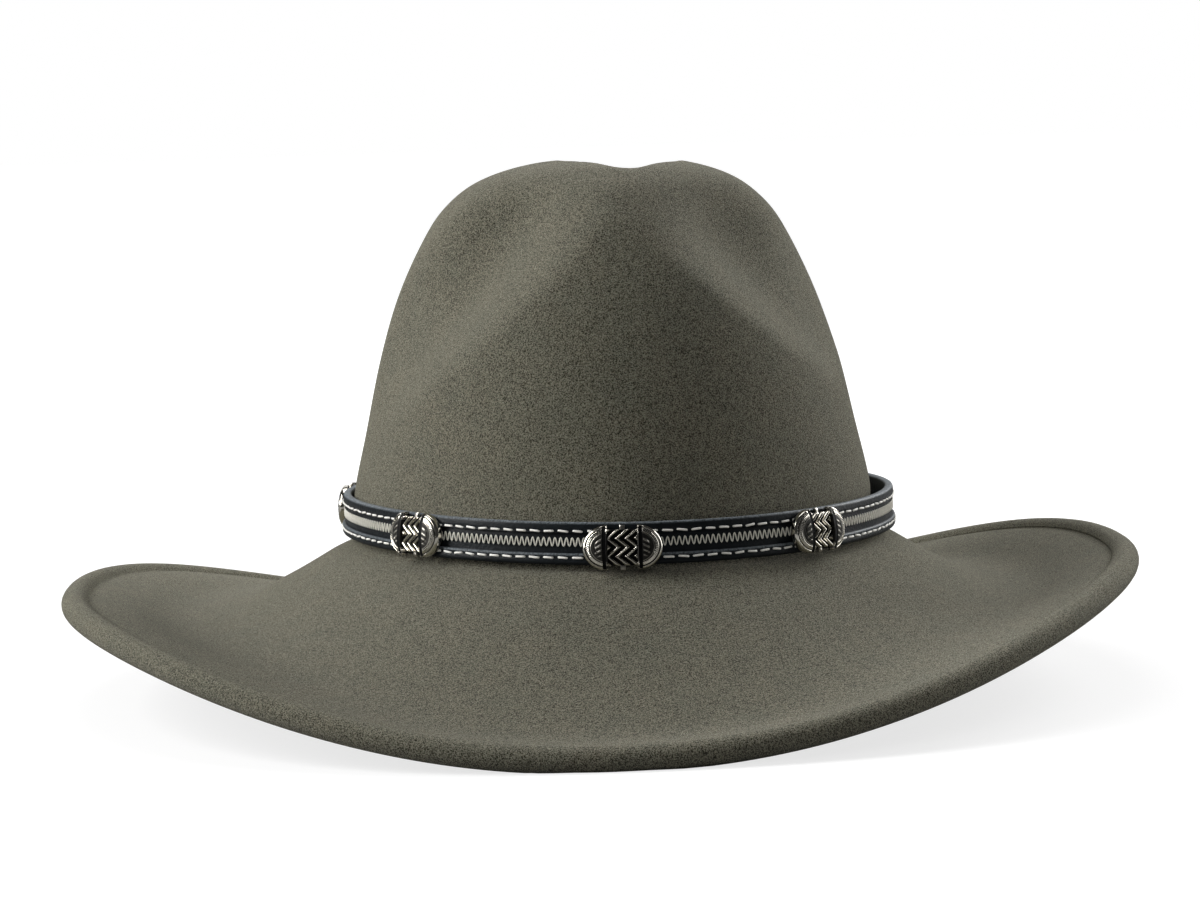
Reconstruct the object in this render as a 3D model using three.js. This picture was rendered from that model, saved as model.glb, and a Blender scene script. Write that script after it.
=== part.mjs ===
// Felt hat: a pinched crown and a dished brim blocked from one felt hood, with a black leather hatband
// that carries five cast metal ornaments.
// Millimetres, +Z up. The rim rests on z = 0, the front faces -Y and +X is the viewer's right.
// A turn is an angle about +Z, measured from +X. A place counts sections from the middle of the top.
import * as THREE from 'three';

// Driving dimensions. At the hatband the crown is an oval of 164 by 205 mm outside, for a head of about 56 cm.
const FELT_WALL = 2.3;
const RIM_HALF_WIDTH = 4.4;
const RIM_HALF_HEIGHT = 4;
const RIM_SINK = 3; // how far the middle of the rolled rim lies under the brim's face
const RIM_FOLD_DEPTH = 0.6; // the sunken line where the rolled rim meets the brim

const SECTIONS = table(
  'name sideRise frontRise halfWidth halfLength shiftX shiftY oval sweep tilt',
  [
    ['top', 167.0, 166.6, 0.0, 0.0, 5.1, 0.0, 2.1, 2.0, 0.0],
    ['ridge', 165.7, 165.6, 22.0, 43.0, 5.1, 0.0, 2.1, 2.0, 0.0],
    ['shoulder', 160.8, 160.8, 39.2, 59.5, 5.1, 0.5, 2.12, 2.0, 0.0],
    ['shoulder_turn', 152.5, 152.0, 50.4, 69.5, 5.1, 0.8, 2.15, 2.0, 0.0],
    ['upper_side', 141.0, 141.0, 58.1, 76.5, 5.1, 0.8, 2.18, 2.0, 0.0],
    ['side', 124.0, 124.0, 66.0, 84.5, 5.1, 0.7, 2.2, 2.0, 0.0],
    ['mid_side', 104.0, 104.0, 72.2, 91.0, 5.1, 0.5, 2.2, 2.0, 0.0],
    ['lower_side', 82.0, 82.0, 77.3, 96.5, 5.1, 0.2, 2.08, 2.0, 0.0],
    ['band_top', 62.5, 62.5, 81.7, 100.4, 5.1, 0.0, 1.9, 2.0, 0.0],
    ['band_foot', 49.5, 49.5, 82.0, 102.4, 5.4, 0.0, 1.9, 2.0, 0.1],
    ['break', 43.2, 45.6, 91.8, 107.6, 4.7, 0.0, 1.93, 2.0, 0.3],
    ['inner_brim', 35.6, 37.6, 105.0, 118.5, 3.8, 0.0, 2.02, 2.1, 0.6],
    ['dish', 29.6, 26.6, 118.5, 132.5, 2.8, 0.0, 2.09, 2.3, 1.0],
    ['mid_brim', 28.5, 15.4, 134.0, 148.0, 1.7, 0.0, 2.13, 2.5, 1.5],
    ['outer_brim', 34.2, 7.4, 150.3, 162.3, 0.8, 0.0, 2.14, 2.7, 1.9],
    ['rim', 38.6, 6.2, 165.2, 175.6, 0.0, 0.0, 2.14, 2.75, 2.4],
  ],
);
const CROWN_FOOT = 9;
const FOLD_PLACE = 14.7;
const RIM_PLACE = SECTIONS.length - 1;
const CROWN_SHIFT_X = SECTIONS[0].shiftX;

// The long dent pressed into the top, narrow at the front and back.
const TOP_DENT = { depth: 18, halfLength: 53, halfWidth: 20, endHalfWidth: 7, shiftX: 5, from: 130, to: 150 };
// The crown's top sinks a little towards the back.
const TOP_FALL = { depth: 6, fromY: -20, toY: 75, fromZ: 100, toZ: 160 };

// The two pinches of the front. 'outward' is the turn from the front in degrees, to that pinch's own side.
const PINCH_COLUMNS = 'place outward depth';
const PINCHES = [
  {
    side: -1,
    innerReach: 28,
    outerReach: 32,
    valley: table(PINCH_COLUMNS, [
      [1.7, 30, 0], [2.4, 31, 6], [3.2, 34, 11.5], [3.9, 39, 12.5],
      [4.5, 47, 12.5], [5.0, 57, 11], [5.5, 67, 6],
    ]),
  },
  {
    side: 1,
    innerReach: 26,
    outerReach: 39,
    valley: table(PINCH_COLUMNS, [
      [1.7, 24, 0], [2.4, 28, 3.5], [3.2, 34, 9.5], [3.8, 39.5, 11],
      [4.3, 46, 11.5], [4.8, 56, 10], [5.2, 67, 5],
    ]),
  },
];
const PINCH_SAMPLES = 40;
const PINCH_BLEND = 6;
const PINCH_FULLNESS = 0.75; // below 1, the floor of a dent is broader and its edge softer to the eye
const PINCH_AIM = new THREE.Vector3(CROWN_SHIFT_X, 0, 0); // the pinches push towards this upright line
const PINCH_DROP = 10; // how far below its own height a pinched point is pushed

// Hatband: the inner oval of the strap, its section, and how its middle line climbs to the viewer's left.
const STRAP = { halfWidth: 84.8, halfLength: 102.9, shiftX: 7, oval: 1.92, middle: 55, climb: 1.1, bow: 0.9 };
const STRAP_LEAN = { side: 3, front: 8 }; // degrees that the strap leans in with the crown
const STRAP_THICK = 2.6;
const STRAP_HALF_HEIGHT = 6.3;
const HEM_HEIGHT = 3.4;
const CHANNEL_THICK = 1.6;
const FIT_GAP = 0.3;

// Ornaments: two domed caps with a plate of raised zigzags between them, in one casting.
const CAP_FLAT = 4.35; // from the middle to a cap's flat side
const CAP_LENGTH = 7.3;
const CAP_HALF_HEIGHT = 6.6;
const CAP_EDGE = 1.2;
const CAP_DOME = 2.1;
const PLATE_HALF_LENGTH = 4.1;
const PLATE_HALF_HEIGHT = 5.3;
const PLATE_THICK = 1.3;
const RIDGE_COUNT = 3;
const RIDGE_PITCH = 2.6;
const RIDGE_HEIGHT = 0.8;
const ZIGZAG_REACH = 3; // from side to side
const ORNAMENT_BEND = 92; // radius that the castings are curved to
const ORNAMENT_GAP = 0.5;
const ORNAMENTS = table(
  'name turn drop',
  [
    ['concho_side_left', -194.9, 0.1],
    ['concho_front_left', -137.8, 0.1],
    ['concho_front', -93.3, 1.25],
    ['concho_front_right', -50.4, 0.4],
    ['concho_side_right', 28.0, 0.1],
  ],
);

// Keeper over the joint of the strap at the back.
const KEEPER_HALF_LENGTH = 8;
const KEEPER_THICK = 1.1;

// Fineness of the meshes
const FELT_COLUMNS = 68;
const FRONT_CROWDING = 0.45; // the columns stand closer at the dented front, and wider at the back
const STRAP_COLUMNS = 64;

function table(names, rows) {
  const keys = names.split(' ');
  return rows.map((row) => Object.fromEntries(row.map((value, i) => [keys[i], value])));
}

function catmullRom(before, from, to, after, f) {
  const v0 = (to - before) / 2;
  const v1 = (after - from) / 2;
  return (2 * from - 2 * to + v0 + v1) * f ** 3 + (-3 * from + 3 * to - 2 * v0 - v1) * f ** 2 + v0 * f + from;
}

// Every numeric column of a table at a place between its rows, on a smooth curve through them.
function rowAt(rows, place) {
  const i = THREE.MathUtils.clamp(Math.floor(place), 0, rows.length - 2);
  const smooth = {};
  for (const key of Object.keys(rows[0]).filter((name) => name !== 'name')) {
    const from = rows[i][key];
    const to = rows[i + 1][key];
    const before = i > 0 ? rows[i - 1][key] : 2 * from - to;
    const after = i + 2 < rows.length ? rows[i + 2][key] : 2 * to - from;
    smooth[key] = catmullRom(before, from, to, after, place - i);
  }
  return smooth;
}

// A point of a unit superellipse.
function ovalAt(turn, power) {
  const bend = (value) => Math.sign(value) * Math.abs(value) ** (2 / power);
  return { across: bend(Math.cos(turn)), along: bend(Math.sin(turn)) };
}

// 1 at zero, falling smoothly to 0 at +-1.
function bell(x) {
  return (1 + Math.cos(Math.PI * THREE.MathUtils.clamp(Math.abs(x), 0, 1))) / 2;
}

// The felt as it comes off the block, before it is dented.
function blockedPoint(place, turn) {
  const s = rowAt(SECTIONS, place);
  const { across, along } = ovalAt(turn, s.oval);
  const lift = Math.abs(Math.sin(turn)) ** s.sweep;
  return new THREE.Vector3(
    s.halfWidth * across + s.shiftX,
    s.halfLength * along + s.shiftY,
    THREE.MathUtils.lerp(s.sideRise, s.frontRise, lift) + s.tilt * across,
  );
}

const degrees = THREE.MathUtils.degToRad;

// The valley line of a pinch on the blocked felt: its depth and the direction towards the dent's wide side.
function valleyLine(pinch) {
  const samples = [];
  for (let k = 0; k < PINCH_SAMPLES; k += 1) {
    const row = rowAt(pinch.valley, (k / (PINCH_SAMPLES - 1)) * (pinch.valley.length - 1));
    const point = blockedPoint(row.place, degrees(-90 + pinch.side * row.outward));
    samples.push({ point, depth: Math.max(row.depth, 0) });
  }
  samples.forEach((sample, k) => {
    const ahead = samples[Math.min(k + 1, PINCH_SAMPLES - 1)].point;
    const behind = samples[Math.max(k - 1, 0)].point;
    const along = ahead.clone().sub(behind);
    const outward = sample.point.clone().sub(new THREE.Vector3(CROWN_SHIFT_X, 0, sample.point.z));
    sample.wideSide = along.cross(outward).multiplyScalar(-pinch.side).normalize();
  });
  return samples;
}

const VALLEYS = PINCHES.map((pinch) => ({ ...pinch, samples: valleyLine(pinch) }));

// The part of each valley that is near the point counts, and a far part fades out over PINCH_BLEND.
function pinchDepth(point) {
  let total = 0;
  for (const valley of VALLEYS) {
    const squares = valley.samples.map((sample) => point.distanceToSquared(sample.point));
    const nearest = Math.min(...squares);
    let weights = 0;
    let depth = 0;
    let square = 0;
    let wideness = 0;
    valley.samples.forEach((sample, k) => {
      const weight = Math.exp((nearest - squares[k]) / (2 * PINCH_BLEND ** 2));
      const away = point.clone().sub(sample.point);
      weights += weight;
      depth += weight * sample.depth;
      square += weight * squares[k];
      wideness += (weight * (1 + away.dot(sample.wideSide) / (away.length() + PINCH_BLEND / 2))) / 2;
    });
    const distance = Math.sqrt(Math.max(square / weights - PINCH_BLEND ** 2, 0));
    const reach = THREE.MathUtils.lerp(valley.innerReach, valley.outerReach, wideness / weights);
    total += (depth / weights) * bell(distance / reach) ** PINCH_FULLNESS;
  }
  return total;
}

function topDentDepth(point) {
  const opening = THREE.MathUtils.smoothstep(1 - Math.abs(point.y) / TOP_DENT.halfLength, 0, 0.75);
  const halfWidth = THREE.MathUtils.lerp(TOP_DENT.endHalfWidth, TOP_DENT.halfWidth, opening);
  const onTop = THREE.MathUtils.smoothstep(point.z, TOP_DENT.from, TOP_DENT.to);
  return TOP_DENT.depth * opening * onTop * bell((point.x - CROWN_SHIFT_X - TOP_DENT.shiftX) / halfWidth);
}

function topFall(point) {
  const { depth, fromY, toY, fromZ, toZ } = TOP_FALL;
  const backShare = THREE.MathUtils.smoothstep(point.y, fromY, toY);
  return depth * backShare * THREE.MathUtils.smoothstep(point.z, fromZ, toZ);
}

// The outer face of the finished felt.
function feltPoint(place, turn) {
  const point = blockedPoint(place, turn);
  if (place >= CROWN_FOOT) return point;
  const push = new THREE.Vector3(PINCH_AIM.x - point.x, PINCH_AIM.y - point.y, -PINCH_DROP).normalize();
  point.addScaledVector(push, pinchDepth(point));
  point.z -= topDentDepth(point) + topFall(point);
  return point;
}

// The inner face lies one wall behind the outer one.
function innerFeltPoint(place, turn) {
  const step = 0.02;
  const down = feltPoint(place + step, turn).sub(feltPoint(Math.max(place - step, step / 2), turn));
  const round = feltPoint(place, turn + step).sub(feltPoint(place, turn - step));
  return feltPoint(place, turn).addScaledVector(down.cross(round).normalize(), -FELT_WALL);
}

// The rolled rim: a bead along the end of the brim, pressed flat where it rests.
function rimPoint(angle, turn) {
  const middle = blockedPoint(RIM_PLACE, turn);
  const outward = middle.clone().sub(blockedPoint(RIM_PLACE - 0.02, turn)).setZ(0).normalize();
  middle.addScaledVector(outward, RIM_HALF_WIDTH * Math.cos(angle));
  middle.z = Math.max(middle.z - RIM_SINK + RIM_HALF_HEIGHT * Math.sin(angle), 0);
  return middle;
}

// A closed skin through loops of points, each loop with as many points as the next. The first and last loops
// are closed over by a fan to a tip, unless the loops themselves close into a ring.
function skinOver(loops, { ring = false, tips = [middleOf(loops[0]), middleOf(loops.at(-1))] } = {}) {
  const points = loops.flat();
  const count = loops[0].length;
  const faces = [];
  const rows = ring ? loops.length : loops.length - 1;
  for (let i = 0; i < rows; i += 1) {
    for (let j = 0; j < count; j += 1) {
      const a = i * count + j;
      const b = i * count + ((j + 1) % count);
      const next = ((i + 1) % loops.length) * count;
      const c = next + j;
      const d = next + ((j + 1) % count);
      faces.push(a, c, d, a, d, b);
    }
  }
  if (!ring) {
    const first = 0;
    const last = (loops.length - 1) * count;
    const [firstTip, lastTip] = tips.map((tip) => points.push(tip) - 1);
    for (let j = 0; j < count; j += 1) {
      faces.push(firstTip, first + j, first + ((j + 1) % count));
      faces.push(lastTip, last + ((j + 1) % count), last + j);
    }
  }
  const geometry = new THREE.BufferGeometry().setFromPoints(points);
  geometry.setIndex(faces);
  geometry.computeVertexNormals();
  return geometry;
}

function middleOf(loop) {
  const sum = loop.reduce((total, point) => total.add(point), new THREE.Vector3());
  return sum.divideScalar(loop.length);
}

function feltGeometry() {
  const outerPlaces = [
    0.3, 0.6, 0.95, 1.3, 1.7, 2.1, 2.5, 2.9, 3.3, 3.7, 4.1, 4.5, 5, 5.6, 6.3, 7.1, 8, 8.7, 9.2, 9.6, 10, 10.5,
    11.2, 12, 13, 14, 14.45,
  ];
  const rimAngles = [150, 105, 65, 25, -20, -60, -90, -120];
  const innerPlaces = [
    14.5, 13.7, 12.7, 11.6, 10.6, 9.8, 9.1, 8.2, 6.8, 5.6, 4.9, 4.3, 3.7, 3.1, 2.5, 1.9, 1.3, 0.8, 0.35,
  ];
  const turns = Array.from({ length: FELT_COLUMNS }, (_, j) => {
    const even = (2 * Math.PI * j) / FELT_COLUMNS;
    return even - FRONT_CROWDING * Math.sin(even) - Math.PI / 2;
  });
  const loopOf = (pointAt) => turns.map(pointAt);
  const foldLine = loopOf((turn) => feltPoint(FOLD_PLACE, turn).sub(new THREE.Vector3(0, 0, RIM_FOLD_DEPTH)));
  const loops = [
    ...outerPlaces.map((place) => loopOf((turn) => feltPoint(place, turn))),
    foldLine,
    ...rimAngles.map((angle) => loopOf((turn) => rimPoint(degrees(angle), turn))),
    ...innerPlaces.map((place) => loopOf((turn) => innerFeltPoint(place, turn))),
  ];
  const outerTip = feltPoint(0, 0);
  const innerTip = outerTip.clone().setZ(outerTip.z - FELT_WALL);
  return skinOver(loops, { tips: [outerTip, innerTip] });
}

// A point of the strap: 'out' from its inner face and 'up' from its middle line, both leaning with the crown.
function strapPoint(turn, out, up) {
  const { across, along } = ovalAt(turn, STRAP.oval);
  const ahead = ovalAt(turn + 0.01, STRAP.oval);
  const back = ovalAt(turn - 0.01, STRAP.oval);
  const tangent = new THREE.Vector2(
    STRAP.halfWidth * (ahead.across - back.across),
    STRAP.halfLength * (ahead.along - back.along),
  ).normalize();
  const lean = degrees(THREE.MathUtils.lerp(STRAP_LEAN.front, STRAP_LEAN.side, across * across));
  const outward = out * Math.cos(lean) - up * Math.sin(lean);
  const upward = up * Math.cos(lean) + out * Math.sin(lean);
  const climb = STRAP.bow * across * across - STRAP.climb * across;
  return new THREE.Vector3(
    STRAP.shiftX + STRAP.halfWidth * across + tangent.y * outward,
    STRAP.halfLength * along - tangent.x * outward,
    STRAP.middle + climb + upward,
  );
}

// The strap's section, as [out, up] pairs: flat inside, a rounded hem at each edge and a sunken channel.
function strapSection() {
  const soft = 0.6;
  const hemFoot = STRAP_HALF_HEIGHT - HEM_HEIGHT;
  const upper = [
    [0, STRAP_HALF_HEIGHT - soft],
    [soft, STRAP_HALF_HEIGHT],
    [STRAP_THICK - soft, STRAP_HALF_HEIGHT],
    [STRAP_THICK, STRAP_HALF_HEIGHT - soft],
    [STRAP_THICK, hemFoot + soft],
    [CHANNEL_THICK, hemFoot],
  ];
  const lower = upper.map(([out, up]) => [out, -up]).reverse();
  return [...upper, ...lower];
}

function strapGeometry() {
  const section = strapSection();
  const loops = Array.from({ length: STRAP_COLUMNS }, (_, j) => {
    const turn = (-2 * Math.PI * j) / STRAP_COLUMNS;
    return section.map(([out, up]) => strapPoint(turn, out, up));
  });
  return skinOver(loops, { ring: true });
}

// The keeper hooks over both edges of the strap and stays off the felt.
function keeperGeometry() {
  const inner = STRAP_HALF_HEIGHT + FIT_GAP;
  const outer = inner + KEEPER_THICK;
  const seat = STRAP_THICK + FIT_GAP;
  const face = seat + KEEPER_THICK;
  const foot = 1.8;
  const soft = 0.5;
  const section = [
    [foot, inner], [foot, outer], [face - soft, outer], [face, outer - soft],
    [face, soft - outer], [face - soft, -outer], [foot, -outer], [foot, -inner],
    [seat, -inner], [seat, inner],
  ];
  const middleTurn = Math.PI / 2;
  const reach = KEEPER_HALF_LENGTH / (STRAP.halfWidth + STRAP_THICK);
  const steps = 6;
  const rings = Array.from({ length: steps + 1 }, (_, k) => {
    const turn = middleTurn + reach - (2 * reach * k) / steps;
    return section.map(([out, up]) => strapPoint(turn, out, up));
  });
  return cappedSweep(rings, section);
}

// A skin over loops whose ends are closed by the flat shape of the section itself.
function cappedSweep(loops, section) {
  const count = section.length;
  const faces = [];
  for (let i = 0; i + 1 < loops.length; i += 1) {
    for (let j = 0; j < count; j += 1) {
      const a = i * count + j;
      const b = i * count + ((j + 1) % count);
      faces.push(a, a + count, b + count, a, b + count, b);
    }
  }
  const outline = section.map(([out, up]) => new THREE.Vector2(out, up));
  const last = (loops.length - 1) * count;
  for (const [a, b, c] of THREE.ShapeUtils.triangulateShape(outline, [])) {
    faces.push(a, c, b, last + a, last + b, last + c);
  }
  const geometry = new THREE.BufferGeometry().setFromPoints(loops.flat());
  geometry.setIndex(faces);
  geometry.computeVertexNormals();
  return geometry;
}

// An ornament in its own frame: x along the strap, y out from it, z up, the back curved to the strap.
function ornamentGeometry() {
  const levels = [1, 0.75, 0.5, 0.25, 0, -0.25, -0.5, -0.75, -1];
  const zigzag = (level) => ZIGZAG_REACH * (0.5 - Math.abs(((level + 1) * 2) % 2 - 1));
  const bent = (x, y, z) => {
    const radius = ORNAMENT_BEND + y;
    const angle = x / ORNAMENT_BEND;
    return new THREE.Vector3(radius * Math.sin(angle), radius * Math.cos(angle) - ORNAMENT_BEND, z);
  };
  const loops = [];
  const addLoop = (xAt, halfHeight, heightAt) => {
    const front = levels.map((level) => bent(xAt(level), heightAt(level), level * halfHeight));
    const back = [-1, -0.5, 0, 0.5, 1].map((level) => bent(xAt(level), 0, level * halfHeight));
    loops.push([...front, ...back]);
  };
  const capStations = [0.985, 0.9, 0.7, 0.42, 0.14, 0];
  const capLoop = (side, station) => {
    const outline = Math.sqrt(1 - station * station);
    const heightAt = (level) => CAP_EDGE + CAP_DOME * Math.sqrt(Math.max(1 - level * level, 0)) * outline;
    addLoop(() => side * (CAP_FLAT + CAP_LENGTH * station), CAP_HALF_HEIGHT * outline, heightAt);
  };
  capStations.forEach((station) => capLoop(-1, station));
  const feet = RIDGE_COUNT * 2 + 1;
  for (let k = 0; k < feet; k += 1) {
    const raised = k % 2 === 1 ? RIDGE_HEIGHT : 0;
    const middle = ((k - (feet - 1) / 2) * RIDGE_PITCH) / 2;
    const onPlate = (x) => THREE.MathUtils.clamp(x, -PLATE_HALF_LENGTH, PLATE_HALF_LENGTH);
    const xAt = (level) => onPlate(middle + zigzag(level));
    addLoop(xAt, PLATE_HALF_HEIGHT, () => PLATE_THICK + raised);
  }
  [...capStations].reverse().forEach((station) => capLoop(1, station));
  return skinOver(loops);
}

function feltMaterial() {
  return new THREE.MeshStandardMaterial({ color: 0x67645a, roughness: 0.95, metalness: 0 });
}

function leatherMaterial() {
  return new THREE.MeshStandardMaterial({ color: 0x1c2126, roughness: 0.45, metalness: 0 });
}

function castMetalMaterial() {
  return new THREE.MeshStandardMaterial({ color: 0xb9b2a6, roughness: 0.3, metalness: 1 });
}

function named(name, geometry, material) {
  const mesh = new THREE.Mesh(geometry, material);
  mesh.name = name;
  return mesh;
}

function hatband() {
  const band = new THREE.Group();
  band.add(named('hatband_strap', strapGeometry(), leatherMaterial()));
  band.add(named('band_keeper', keeperGeometry(), leatherMaterial()));
  const casting = ornamentGeometry();
  for (const { name, turn, drop } of ORNAMENTS) {
    const ornament = named(name, casting, castMetalMaterial());
    const seat = STRAP_THICK + ORNAMENT_GAP;
    const angle = degrees(turn);
    ornament.position.copy(strapPoint(angle, seat, -drop));
    const outward = strapPoint(angle, seat + 1, -drop).sub(ornament.position);
    const upward = strapPoint(angle, seat, 1 - drop).sub(ornament.position);
    const along = outward.clone().cross(upward);
    ornament.quaternion.setFromRotationMatrix(new THREE.Matrix4().makeBasis(along, outward, upward));
    band.add(ornament);
  }
  return band;
}

const hat = new THREE.Group();
hat.add(named('felt_body', feltGeometry(), feltMaterial()));
hat.add(hatband());

export default hat;
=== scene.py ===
import math

import bpy
import numpy as np
from mathutils import Matrix, Vector


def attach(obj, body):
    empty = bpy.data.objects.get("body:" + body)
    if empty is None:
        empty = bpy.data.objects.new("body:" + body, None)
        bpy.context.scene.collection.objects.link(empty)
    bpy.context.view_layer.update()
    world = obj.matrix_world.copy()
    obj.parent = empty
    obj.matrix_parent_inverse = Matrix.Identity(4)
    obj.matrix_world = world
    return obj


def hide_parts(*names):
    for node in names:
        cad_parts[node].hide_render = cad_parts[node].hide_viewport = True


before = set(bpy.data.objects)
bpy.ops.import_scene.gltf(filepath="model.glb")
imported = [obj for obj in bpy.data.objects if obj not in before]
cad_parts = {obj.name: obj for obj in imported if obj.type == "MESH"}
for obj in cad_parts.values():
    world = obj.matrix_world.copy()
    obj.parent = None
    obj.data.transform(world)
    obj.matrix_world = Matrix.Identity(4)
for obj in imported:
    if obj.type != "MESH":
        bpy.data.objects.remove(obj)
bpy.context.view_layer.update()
MM = 0.001

# Felt body. On the real hat crown and brim are one hood of fur felt, steamed over an oval block. The top dent
# and the two front pinches are pressed in by hand, the brim is ironed into its dish, and its edge is rolled
# over into a thick soft bead. A turn is an angle round the hat, a place counts sections from the top.
FELT_WALL = 2.3
FELT_SECTION_COLUMNS = "side_rise front_rise half_width half_length shift_x shift_y oval sweep tilt".split()
FELT_SECTIONS = np.array([
    (167.0, 166.6, 0.0, 0.0, 5.1, 0.0, 2.1, 2.0, 0.0),  # top
    (165.7, 165.6, 22.0, 43.0, 5.1, 0.0, 2.1, 2.0, 0.0),  # ridge
    (160.8, 160.8, 39.2, 59.5, 5.1, 0.5, 2.12, 2.0, 0.0),  # shoulder
    (152.5, 152.0, 50.4, 69.5, 5.1, 0.8, 2.15, 2.0, 0.0),  # shoulder turn
    (141.0, 141.0, 58.1, 76.5, 5.1, 0.8, 2.18, 2.0, 0.0),  # upper side
    (124.0, 124.0, 66.0, 84.5, 5.1, 0.7, 2.2, 2.0, 0.0),  # side
    (104.0, 104.0, 72.2, 91.0, 5.1, 0.5, 2.2, 2.0, 0.0),  # middle of the side
    (82.0, 82.0, 77.3, 96.5, 5.1, 0.2, 2.08, 2.0, 0.0),  # lower side
    (62.5, 62.5, 81.7, 100.4, 5.1, 0.0, 1.9, 2.0, 0.0),  # top of the band
    (49.5, 49.5, 82.0, 102.4, 5.4, 0.0, 1.9, 2.0, 0.1),  # foot of the band
    (43.2, 45.6, 91.8, 107.6, 4.7, 0.0, 1.93, 2.0, 0.3),  # break
    (35.6, 37.6, 105.0, 118.5, 3.8, 0.0, 2.02, 2.1, 0.6),  # inner brim
    (29.6, 26.6, 118.5, 132.5, 2.8, 0.0, 2.09, 2.3, 1.0),  # dish
    (28.5, 15.4, 134.0, 148.0, 1.7, 0.0, 2.13, 2.5, 1.5),  # middle of the brim
    (34.2, 7.4, 150.3, 162.3, 0.8, 0.0, 2.14, 2.7, 1.9),  # outer brim
    (38.6, 6.2, 165.2, 175.6, 0.0, 0.0, 2.14, 2.75, 2.4),  # rim
])
CROWN_FOOT = 9
RIM_PLACE = len(FELT_SECTIONS) - 1
CROWN_SHIFT_X = 5.1


def catmull_rom(rows, place):
    """Every column of a table at places between its rows, on a smooth curve through them."""
    padded = np.vstack([2 * rows[0] - rows[1], rows, 2 * rows[-1] - rows[-2]])
    i = np.clip(np.floor(place).astype(int), 0, len(rows) - 2)
    f = (place - i)[..., None]
    before, start, end, after = (padded[i + k] for k in range(4))
    v0 = (end - before) / 2
    v1 = (after - start) / 2
    cubic = 2 * start - 2 * end + v0 + v1
    square = -3 * start + 3 * end - 2 * v0 - v1
    return cubic * f**3 + square * f**2 + v0 * f + start


def oval_at(turn, power):
    """A point of a unit superellipse: its part across the hat and its part along it."""
    c = np.cos(turn)
    s = np.sin(turn)
    return np.sign(c) * np.abs(c) ** (2 / power), np.sign(s) * np.abs(s) ** (2 / power)


def bell(x):
    """1 at zero, falling smoothly to 0 at 1."""
    return (1 + np.cos(np.pi * np.clip(np.abs(x), 0, 1))) / 2


def smoothstep(x, start, end):
    f = np.clip((x - start) / (end - start), 0, 1)
    return f * f * (3 - 2 * f)


def blocked_felt(place, turn):
    """The felt as it comes off the block, before it is dented."""
    s = dict(zip(FELT_SECTION_COLUMNS, np.moveaxis(catmull_rom(FELT_SECTIONS, place), -1, 0)))
    across, along = oval_at(turn, s["oval"])
    lift = np.abs(np.sin(turn)) ** s["sweep"]
    x = s["half_width"] * across + s["shift_x"]
    y = s["half_length"] * along + s["shift_y"]
    z = s["side_rise"] * (1 - lift) + s["front_rise"] * lift + s["tilt"] * across
    return np.stack([x, y, z], -1)


# The two front pinches: the place, the degrees from the front and the depth along each valley.
PINCHES = [
    {
        "side": -1,
        "inner_reach": 28.0,
        "outer_reach": 32.0,
        "valley": np.array([
            (1.7, 30.0, 0.0), (2.4, 31.0, 6.0), (3.2, 34.0, 11.5), (3.9, 39.0, 12.5),
            (4.5, 47.0, 12.5), (5.0, 57.0, 11.0), (5.5, 67.0, 6.0),
        ]),
    },
    {
        "side": 1,
        "inner_reach": 26.0,
        "outer_reach": 39.0,
        "valley": np.array([
            (1.7, 24.0, 0.0), (2.4, 28.0, 3.5), (3.2, 34.0, 9.5), (3.8, 39.5, 11.0),
            (4.3, 46.0, 11.5), (4.8, 56.0, 10.0), (5.2, 67.0, 5.0),
        ]),
    },
]
PINCH_SAMPLES = 40
PINCH_BLEND = 6.0
PINCH_FULLNESS = 0.75
PINCH_AIM = np.array([CROWN_SHIFT_X, 0.0])
PINCH_DROP = 10.0

# The long dent in the top, narrow at both ends, and the small fall of the top towards the back.
TOP_DENT = {"depth": 18.0, "half_length": 53.0, "half_width": 20.0, "end_half_width": 7.0, "shift_x": 5.0}
TOP_DENT_END = 0.75
TOP_DENT_HEIGHTS = (130, 150)
TOP_FALL = 6.0
TOP_FALL_REACH = (-20, 75)
TOP_FALL_HEIGHTS = (100, 160)


def length_of(vectors):
    return np.linalg.norm(vectors, axis=-1, keepdims=True)


def pinch_depth(points, pinch):
    rows = catmull_rom(pinch["valley"], np.linspace(0, len(pinch["valley"]) - 1, PINCH_SAMPLES))
    line = blocked_felt(rows[:, 0], np.radians(-90 + pinch["side"] * rows[:, 1]))
    depths = np.maximum(rows[:, 2], 0)
    ahead = line[np.minimum(np.arange(PINCH_SAMPLES) + 1, PINCH_SAMPLES - 1)]
    behind = line[np.maximum(np.arange(PINCH_SAMPLES) - 1, 0)]
    outward = line * (1, 1, 0) - (CROWN_SHIFT_X, 0, 0)
    wide_side = -pinch["side"] * np.cross(ahead - behind, outward)
    wide_side /= length_of(wide_side)
    away = points[:, None, :] - line[None]
    squares = (away**2).sum(-1)
    weight = np.exp((squares.min(1, keepdims=True) - squares) / (2 * PINCH_BLEND**2))
    weight /= weight.sum(1, keepdims=True)
    wideness = (1 + (away * wide_side).sum(-1) / (np.sqrt(squares) + PINCH_BLEND / 2)) / 2
    distance = np.sqrt(np.maximum((weight * squares).sum(1) - PINCH_BLEND**2, 0))
    reach = pinch["inner_reach"] + (pinch["outer_reach"] - pinch["inner_reach"]) * (weight * wideness).sum(1)
    return (weight * depths).sum(1) * bell(distance / reach) ** PINCH_FULLNESS


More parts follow.
